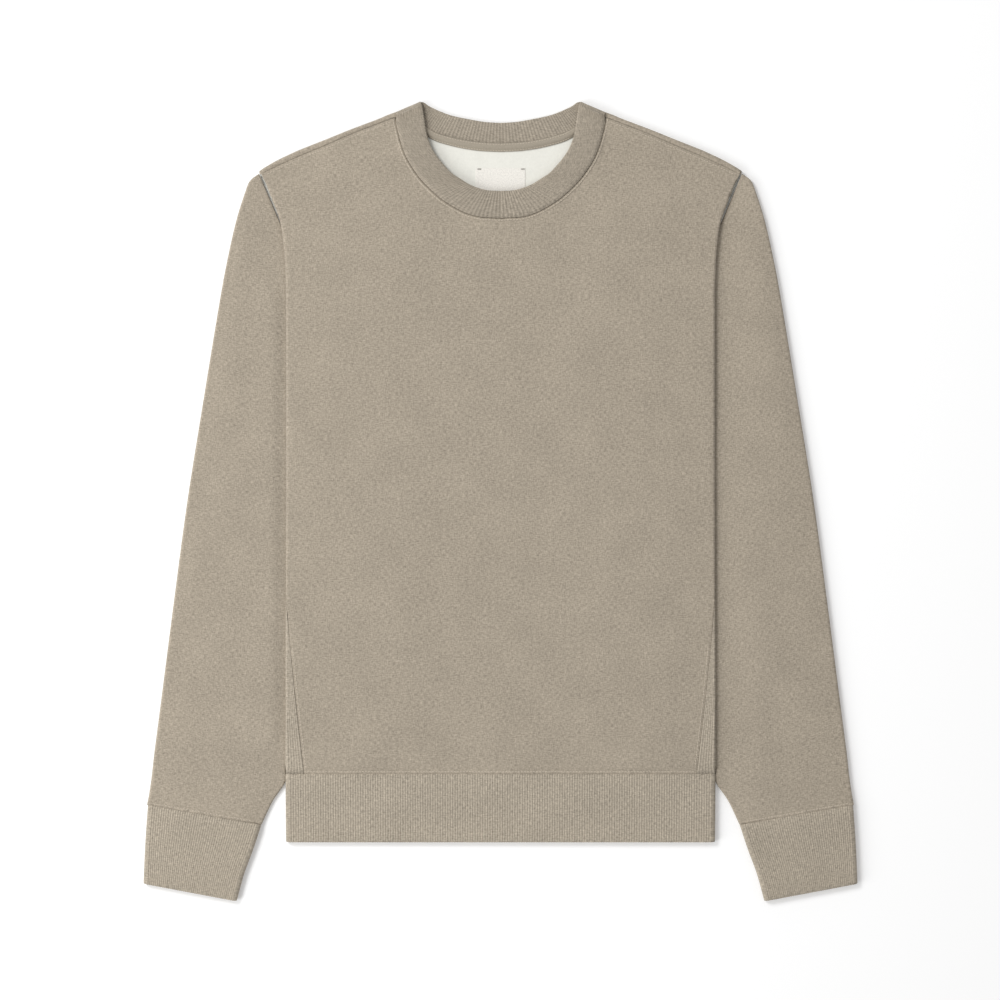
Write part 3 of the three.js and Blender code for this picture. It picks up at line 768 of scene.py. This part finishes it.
def neckband(materials):
    """A closed ring of rib, with its ribs on the faces that show."""
    ring = collar_ring()
    shares = [0.002, 0.015, 0.03, 0.05, 0.08, 0.12, 0.18, 0.28, 0.4, 0.55, 0.7, 0.82, 0.9, 0.95, 0.98, 1]
    grid = []
    for share in shares:
        crown = COLLAR_CROWN * math.sin(math.pi * share) - 0.5 * math.exp(-((1 - share) / 0.05) ** 2)
        raised = crown + seam_dip(share * COLLAR_WIDTH, *COLLAR_DIP)
        row = []
        for seam_x, seam_y, free_x, free_y, z, part in ring:
            height = z + raised if part == "front" else z
            row.append((mix(seam_x, free_x, share), mix(seam_y, free_y, share), height))
        grid.append(row)
    outer = np.zeros((len(shares), len(ring)))
    inner = np.zeros_like(outer)
    for j, station in enumerate(ring):
        relief = rib_relief(min(j, len(ring) - j))
        outer[:, j] = relief if station[5] == "front" else 0.0
        inner[:, j] = relief if station[5] == "back" else 0.0
    return wall("neckband_knit", grid, RIB, materials, tube=True, turn=None, rib=outer, inner_rib=inner)


def neck_tape(materials):
    """The tape over the back neck seam, which steps up from the back panel onto the neckband."""
    xs = spaced(0, 72, 60)
    upper = RIB + RIB_HEIGHT + TAPE_AIR + TAPE / 2
    lower = FLEECE + TAPE_AIR + TAPE / 2
    offsets = [
        (-4, lower), (-3.5, lower + 0.1), (-2.8, lower + 0.3), (-1.8, mix(lower, upper, 0.6)),
        (-0.9, upper), (1.2, upper + 0.1), (2.9, upper), (4, upper - 0.1),
    ]
    line = smooth_line(TAPE_ROWS)
    grid = [[(x, curve_through(line, x) + offset, z) for x in xs] for offset, z in offsets]
    return wall("neck_tape_cloth", mirrored(grid), TAPE, materials)


def label(materials):
    """The blank label, with a faint wave."""
    half, inset = LABEL_WIDTH / 2, 0.15
    xs = [-half] + spaced(inset - half, half - inset, 30) + [half]
    ys = spaced(LABEL_TOP_Y - LABEL_HEIGHT, LABEL_TOP_Y - inset, 24) + [LABEL_TOP_Y]

    def height(x, y):
        wave = math.sin((x + 20) / 14) * math.sin((LABEL_TOP_Y - y) / 16)
        return FLEECE + LABEL / 2 + LABEL_AIR + 0.03 * wave

    grid = [[(x, y, height(x, y)) for x in xs] for y in ys]
    return wall("label_cloth", grid, LABEL, materials)


# Materials


class Nodes:
    """Short way to add and join shader nodes."""

    def __init__(self, name):
        self.material = bpy.data.materials.new(name)
        self.material.use_nodes = True
        self.tree = self.material.node_tree
        self.shader = self.tree.nodes["Principled BSDF"]

    def add(self, kind, **values):
        node = self.tree.nodes.new(kind)
        for key, value in values.items():
            if key in node.inputs:
                node.inputs[key].default_value = value
            else:
                setattr(node, key, value)
        return node

    def join(self, source, target):
        self.tree.links.new(source, target)

    def math(self, operation, a, b=None):
        node = self.tree.nodes.new("ShaderNodeMath")
        node.operation = operation
        for socket, value in zip(node.inputs, (a, b)):
            if value is None:
                continue
            if isinstance(value, (int, float)):
                socket.default_value = value
            else:
                self.join(value, socket)
        return node.outputs[0]

    def noise(self, vector, scale, detail=2.0, roughness=0.5):
        node = self.add("ShaderNodeTexNoise", Scale=scale, Detail=detail, Roughness=roughness)
        self.join(vector, node.inputs["Vector"])
        return node.outputs["Fac"]

    def stretched(self, vector, across, along):
        node = self.add("ShaderNodeMapping", Scale=(across, along, 1.0))
        self.join(vector, node.inputs["Vector"])
        return node.outputs[0]

    def ramp(self, source, stops):
        node = self.add("ShaderNodeValToRGB")
        elements = node.color_ramp.elements
        while len(elements) < len(stops):
            elements.new(0.5)
        for element, (place, colour) in zip(elements, stops):
            element.position = place
            element.color = (*colour, 1.0)
        self.join(source, node.inputs["Fac"])
        return node.outputs["Color"]

    def blend(self, factor, a, b, mode="MIX"):
        node = self.add("ShaderNodeMix", data_type="RGBA", blend_type=mode)
        for socket, value in ((node.inputs[0], factor), (node.inputs[6], a), (node.inputs[7], b)):
            if isinstance(value, (int, float)):
                socket.default_value = value
            elif isinstance(value, tuple):
                socket.default_value = (*value, 1.0)
            else:
                self.join(value, socket)
        return node.outputs[2]

    def raise_by(self, height, strength, distance):
        bump = self.add("ShaderNodeBump", Strength=strength, Distance=distance)
        self.join(height, bump.inputs["Height"])
        self.join(bump.outputs[0], self.shader.inputs["Normal"])


def shade(colour, factor):
    return tuple(channel * factor for channel in colour)


def knit_height(nodes, cloth, wale, course):
    """Height of plain knit: chains of small V shapes that run along the cloth."""
    split = nodes.add("ShaderNodeSeparateXYZ")
    nodes.join(cloth, split.inputs[0])
    u = nodes.math("MULTIPLY", split.outputs[0], 2 * math.pi / wale)
    v = nodes.math("MULTIPLY", split.outputs[1], 2 * math.pi / course)
    column = nodes.math("COSINE", u)
    arch = nodes.math("ABSOLUTE", nodes.math("SINE", nodes.math("MULTIPLY", u, 0.5)))
    lean = nodes.math("MULTIPLY", arch, 2.2)
    loops = nodes.math("SINE", nodes.math("ADD", v, lean))
    return nodes.math("ADD", nodes.math("MULTIPLY", column, 0.5), nodes.math("MULTIPLY", loops, 0.5))


def grey(value):
    return (value, value, value)


def marl(name, colour, contrast=1.0, depth=0.00012, valley_shade=1.0):
    """Heathered knit: light and dark fibres in a taupe yarn, with painted shade in the hollows between the
    ribs and a faint painted highlight on their tops.
    """
    nodes = Nodes(name)
    cloth = nodes.add("ShaderNodeUVMap", uv_map="cloth").outputs[0]
    fibres = nodes.noise(nodes.stretched(cloth, 1.0, 0.28), 1000, 2.0, 0.6)
    yarn = nodes.noise(nodes.stretched(cloth, 0.28, 1.0), 1000, 2.0, 0.6)
    clouds = nodes.noise(cloth, 26, 3.0, 0.55)
    flecks = nodes.noise(nodes.stretched(cloth, 0.6, 1.0), 900, 1.0, 0.4)
    low, high = shade(colour, 1 - 0.45 * contrast), shade(colour, 1 + 0.45 * contrast)
    tones = [(0.3, low), (0.5, colour), (0.7, high)]
    base = nodes.ramp(fibres, tones)
    streaks = nodes.ramp(yarn, tones)
    mixed = nodes.blend(0.55, base, streaks)
    pale = nodes.ramp(flecks, [(0.66, grey(0.0)), (0.74, grey(1.0))])
    dark = nodes.ramp(flecks, [(0.26, grey(1.0)), (0.34, grey(0.0))])
    mixed = nodes.blend(nodes.math("MULTIPLY", pale, 0.5), mixed, shade(colour, 1.5))
    mixed = nodes.blend(nodes.math("MULTIPLY", dark, 0.5), mixed, shade(colour, 0.5))
    tint = nodes.ramp(clouds, [(0.3, grey(0.95)), (0.7, grey(1.05))])
    mixed = nodes.blend(1.0, mixed, tint, "MULTIPLY")
    # Painted shade: the rib relief darkens the hollows between the ribs and lightens their tops a little,
    # as light falling on them would.
    if valley_shade < 1:
        relief = nodes.add("ShaderNodeAttribute", attribute_name="relief").outputs["Fac"]
        ribs = nodes.ramp(relief, [(0.0, grey(valley_shade)), (0.75, grey(1.04))])
        mixed = nodes.blend(1.0, mixed, ribs, "MULTIPLY")
    nodes.join(mixed, nodes.shader.inputs["Base Color"])
    knit = knit_height(nodes, cloth, KNIT_WALE, KNIT_COURSE)
    nodes.raise_by(nodes.math("ADD", knit, nodes.math("MULTIPLY", fibres, 1.3)), 0.7, depth)
    nodes.shader.inputs["Roughness"].default_value = 0.95
    nodes.shader.inputs["Specular IOR Level"].default_value = 0.15
    nodes.shader.inputs["Sheen Weight"].default_value = 0.12
    nodes.shader.inputs["Sheen Roughness"].default_value = 0.6
    return nodes.material


def brushed(name, colour):
    """Brushed inner face: a soft short pile."""
    nodes = Nodes(name)
    cloth = nodes.add("ShaderNodeUVMap", uv_map="cloth").outputs[0]
    pile = nodes.noise(cloth, 420, 4.0, 0.7)
    tufts = nodes.noise(cloth, 90, 3.0, 0.6)
    both = nodes.math("ADD", nodes.math("MULTIPLY", pile, 0.6), nodes.math("MULTIPLY", tufts, 0.4))
    tone = nodes.ramp(both, [(0.3, shade(colour, 0.93)), (0.7, shade(colour, 1.04))])
    nodes.join(tone, nodes.shader.inputs["Base Color"])
    nodes.raise_by(both, 0.6, 0.0005)
    nodes.shader.inputs["Roughness"].default_value = 1.0
    nodes.shader.inputs["Specular IOR Level"].default_value = 0.1
    nodes.shader.inputs["Sheen Weight"].default_value = 0.3
    return nodes.material


def woven(name, colour, pitch, roughness, depth):
    """Fine plain weave for the tape and the label."""
    nodes = Nodes(name)
    cloth = nodes.add("ShaderNodeUVMap", uv_map="cloth").outputs[0]
    split = nodes.add("ShaderNodeSeparateXYZ")
    nodes.join(cloth, split.inputs[0])
    across = nodes.math("SINE", nodes.math("MULTIPLY", split.outputs[0], 2 * math.pi / pitch))
    along = nodes.math("SINE", nodes.math("MULTIPLY", split.outputs[1], 2 * math.pi / pitch))
    weave = nodes.math("MULTIPLY", across, along)
    grain = nodes.noise(cloth, 700, 2.0, 0.6)
    both = nodes.math("ADD", nodes.math("MULTIPLY", weave, 0.25), grain)
    tone = nodes.ramp(both, [(0.25, shade(colour, 0.86)), (0.75, shade(colour, 1.12))])
    nodes.join(tone, nodes.shader.inputs["Base Color"])
    nodes.raise_by(both, 0.5, depth)
    nodes.shader.inputs["Roughness"].default_value = roughness
    return nodes.material


# Width and height of one knit loop in metres
KNIT_WALE = 0.0011
KNIT_COURSE = 0.0009

# Colours as the shader takes them
FLEECE_COLOUR = (0.385, 0.332, 0.262)
RIB_COLOUR = (0.398, 0.347, 0.276)
COLLAR_COLOUR = (0.358, 0.311, 0.248)
CREAM = (0.82, 0.81, 0.745)
TAPE_COLOUR = (0.36, 0.315, 0.25)
LABEL_COLOUR = (0.84, 0.81, 0.75)
THREAD_COLOUR = (0.60, 0.53, 0.43)
TACK_COLOUR = (0.42, 0.40, 0.36)

fleece = marl("fleece_marl", FLEECE_COLOUR, contrast=0.9)
# The ribbed knits carry painted shade in the hollows between their ribs.
rib_knit, collar_knit, side_knit = [
    marl(name, colour, depth=0.00009, valley_shade=0.98)
    for name, colour in (
        ("rib_marl", RIB_COLOUR), ("collar_marl", COLLAR_COLOUR), ("side_rib_marl", RIB_COLOUR))
]
inside = brushed("brushed_inside", CREAM)
tape_weave = woven("tape_twill", TAPE_COLOUR, 0.0009, 0.9, 0.00012)
label_weave = woven("label_satin", LABEL_COLOUR, 0.0005, 0.55, 0.00004)
thread = woven("sewing_thread", THREAD_COLOUR, 0.0006, 0.7, 0.00004)
tack_thread = woven("tack_thread", TACK_COLOUR, 0.0006, 0.7, 0.00004)


# Stitching


def stitch_bar(start, end, radius=0.28):
    """Corners and faces of one short stitch: a slim bar with rounded ends, sunk at both ends."""
    start, end = np.array(start), np.array(end)
    axis = end - start
    length = np.linalg.norm(axis)
    axis /= length
    side = np.cross(axis, (0, 0, 1.0))
    side /= np.linalg.norm(side)
    up = np.cross(side, axis)
    corners = []
    for t, size, drop in ((0, 0.35, 0.35), (0.18, 1, 0), (0.82, 1, 0), (1, 0.35, 0.35)):
        centre = start + axis * length * t - up * drop * radius
        for k in range(6):
            angle = math.pi * k / 3
            corners.append(centre + radius * size * (math.cos(angle) * side + math.sin(angle) * up))
    faces = []
    for ring in range(3):
        for k in range(6):
            a = ring * 6 + k
            b = ring * 6 + (k + 1) % 6
            faces.append((a, b, b + 6, a + 6))
    faces.append(tuple(range(5, -1, -1)))
    faces.append(tuple(range(18, 24)))
    return corners, faces


def stitches(name, lines, pitch=2.9, gap=0.55, radius=0.28, material=thread):
    """One mesh of stitches along lines of points in millimetres."""
    points, faces = [], []
    for line in lines:
        line = np.array(line)
        run = np.concatenate([[0], np.cumsum(np.linalg.norm(np.diff(line, axis=0), axis=1))])
        for k in range(int(run[-1] / pitch)):
            ends = [
                [np.interp(distance, run, line[:, axis]) for axis in range(3)]
                for distance in (k * pitch + gap / 2, (k + 1) * pitch - gap / 2)
            ]
            corners, own_faces = stitch_bar(*ends, radius=radius)
            offset = len(points)
            points += [c * MM for c in corners]
            faces += [tuple(i + offset for i in face) for face in own_faces]
    mesh = bpy.data.meshes.new(name)
    mesh.from_pydata([tuple(p) for p in points], [], faces)
    layer = mesh.uv_layers.new(name="cloth")
    for loop in mesh.loops:
        p = mesh.vertices[loop.vertex_index].co
        layer.data[loop.index].uv = (p.x, p.y)
    mesh.materials.append(material)
    mesh.polygons.foreach_set("use_smooth", np.ones(len(mesh.polygons), dtype=bool))
    piece = bpy.data.objects.new(name, mesh)
    bpy.context.scene.collection.objects.link(piece)
    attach(piece, "root")
    return piece


def both_sides(line):
    return [line, [(-x, y, z) for x, y, z in line]]


def offset_line(points, distance):
    """A line of points moved sideways, away from the neck or down the body."""
    points = np.array([p[:2] for p in points])
    step = np.gradient(points, axis=0)
    normal = np.stack([step[:, 1], -step[:, 0]], axis=1)
    normal /= np.linalg.norm(normal, axis=1, keepdims=True)
    return points + normal * distance


def on_front(points):
    return [(x, y, front_surface(x, y) + FLEECE / 2 + STITCH_RISE) for x, y in points]


def topstitching():
    """Rows of stitches beside the seams that show."""
    neck = on_front(offset_line(NECK_LINE, NECK_STITCH))
    shoulder = on_front(offset_line(SHOULDER_LINE[2:-10], STITCH))
    hem = on_front([(x, HEM_SEAM_Y + STITCH) for x in spaced(-187, 187, 200)])
    side = on_front([(x - SIDE_STITCH, y) for x, y in SIDE_SEAM_LINE[1:-8]])
    outer_x, outer_y, inner_x, inner_y = SLEEVE_ROWS[-1]
    cuff = []
    for t in spaced(0.05, 0.95, 60):
        x, y = mix(outer_x, inner_x, t), mix(outer_y, inner_y, t) + STITCH
        cuff.append((x, y, sleeve_top_mid(x, y) + crease_height(x, y) + SLEEVE_FLEECE / 2 + STITCH_RISE))
    tape_line = smooth_line(TAPE_ROWS[:-1])
    upper = [(x, y + 2.7, RIB + RIB_HEIGHT + TAPE_AIR + TAPE + 0.1) for x, y in tape_line]
    lower = [(x, y - 3.0, FLEECE + TAPE_AIR + TAPE + 0.4) for x, y in tape_line]
    return [
        stitches("neck_topstitch", both_sides(neck), gap=0.4, radius=0.34),
        stitches("shoulder_topstitch", both_sides(shoulder)),
        stitches("hem_topstitch", [hem]),
        stitches("side_topstitch", both_sides(side)),
        stitches("cuff_topstitch", both_sides(cuff)),
        stitches("tape_topstitch", both_sides(upper) + both_sides(lower), pitch=2.6),
    ]


def label_tacks():
    """Short bars of thread that hold the label's two upper corners."""
    z = FLEECE + 0.24
    half = 2.2
    lines = []
    for x in (-20.2, 21.2):
        for drop in (0.5, 1.0, 1.5):
            y = LABEL_TOP_Y - drop
            lines.append([(x - half, y, z), (x + half, y, z)])
    return stitches("label_tacks", lines, pitch=4.3, gap=0.1, radius=0.2, material=tack_thread)


# Pieces

taupe_and_cream = [fleece, inside]
front = front_panel(taupe_and_cream)
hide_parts("front_panel")
back = back_panel([inside, fleece])
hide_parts("back_panel")
hem = ribbed_tube("hem_band_knit", HEM_ROWS, 1, [rib_knit, rib_knit])
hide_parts("hem_band")
collar = neckband([collar_knit, collar_knit])
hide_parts("neckband")
tape = neck_tape([tape_weave, tape_weave])
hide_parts("neck_tape")
blank_label = label([label_weave, label_weave])
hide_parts("label")
for side, side_name in SIDES.items():
    panel = side_panel(side, [side_knit, inside])
    arm = sleeve(side, taupe_and_cream)
    cuff_name = f"cuff_{side_name}_knit"
    cuff = ribbed_tube(cuff_name, CUFF_ROWS, side, [rib_knit, rib_knit], side * CUFF_TURN)
    side_slots = ((panel, "side_panel", "rib"), (arm, "sleeve", "fleece"), (cuff, "cuff", "rib"))
    for piece, node, slot in side_slots:
        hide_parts(f"{node}_{side_name}")
for piece in topstitching() + [label_tacks()]:
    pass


# Floor, light and camera

CAMERA_LENS = 100.0
SENSOR = 36.0
PICTURE_WIDTH = 0.950
# The camera stands where the photograph's framing needs it
CAMERA_PLACE = (-0.0005, 0.00095, PICTURE_WIDTH * CAMERA_LENS / SENSOR + 0.004)
FLOOR_SIZE = 12.0
FLOOR_DROP = 0.0005
FLOOR_GLOW = 0.12
STUDIO_LIGHT = 0.5

# Lamps: name, place, size and power
LAMPS = [("key", (-2.0, 1.7, 2.5), 1.4, 66), ("side", (-2.4, -1.0, 1.5), 2.0, 42)]


def floor():
    mesh = bpy.data.meshes.new("floor")
    h = FLOOR_SIZE / 2
    mesh.from_pydata([(-h, -h, 0), (h, -h, 0), (h, h, 0), (-h, h, 0)], [], [(0, 1, 2, 3)])
    nodes = Nodes("white_floor")
    nodes.shader.inputs["Base Color"].default_value = (0.93, 0.93, 0.93, 1.0)
    nodes.shader.inputs["Roughness"].default_value = 1.0
    nodes.shader.inputs["Specular IOR Level"].default_value = 0.0
    nodes.shader.inputs["Emission Color"].default_value = (1.0, 1.0, 1.0, 1.0)
    nodes.shader.inputs["Emission Strength"].default_value = FLOOR_GLOW
    mesh.materials.append(nodes.material)
    piece = bpy.data.objects.new("floor", mesh)
    bpy.context.scene.collection.objects.link(piece)
    piece.location.z = -FLOOR_DROP


def area_light(name, place, size, power):
    data = bpy.data.lights.new(name, "AREA")
    data.shape = "DISK"
    data.size = size
    data.energy = power
    lamp = bpy.data.objects.new(name, data)
    bpy.context.scene.collection.objects.link(lamp)
    lamp.location = place
    lamp.rotation_euler = (-Vector(place)).to_track_quat("-Z", "Y").to_euler()


def lights():
    for lamp in LAMPS:
        area_light(*lamp)
    world = bpy.data.worlds.new("studio")
    world.use_nodes = True
    background = world.node_tree.nodes["Background"]
    background.inputs["Color"].default_value = (1.0, 1.0, 1.0, 1.0)
    background.inputs["Strength"].default_value = STUDIO_LIGHT
    bpy.context.scene.world = world


def camera():
    data = bpy.data.cameras.new("camera")
    data.lens = CAMERA_LENS
    data.sensor_width = SENSOR
    view = bpy.data.objects.new("camera", data)
    bpy.context.scene.collection.objects.link(view)
    view.location = CAMERA_PLACE
    bpy.context.scene.camera = view


floor()
lights()
camera()
bpy.context.scene.view_settings.view_transform = "Standard"
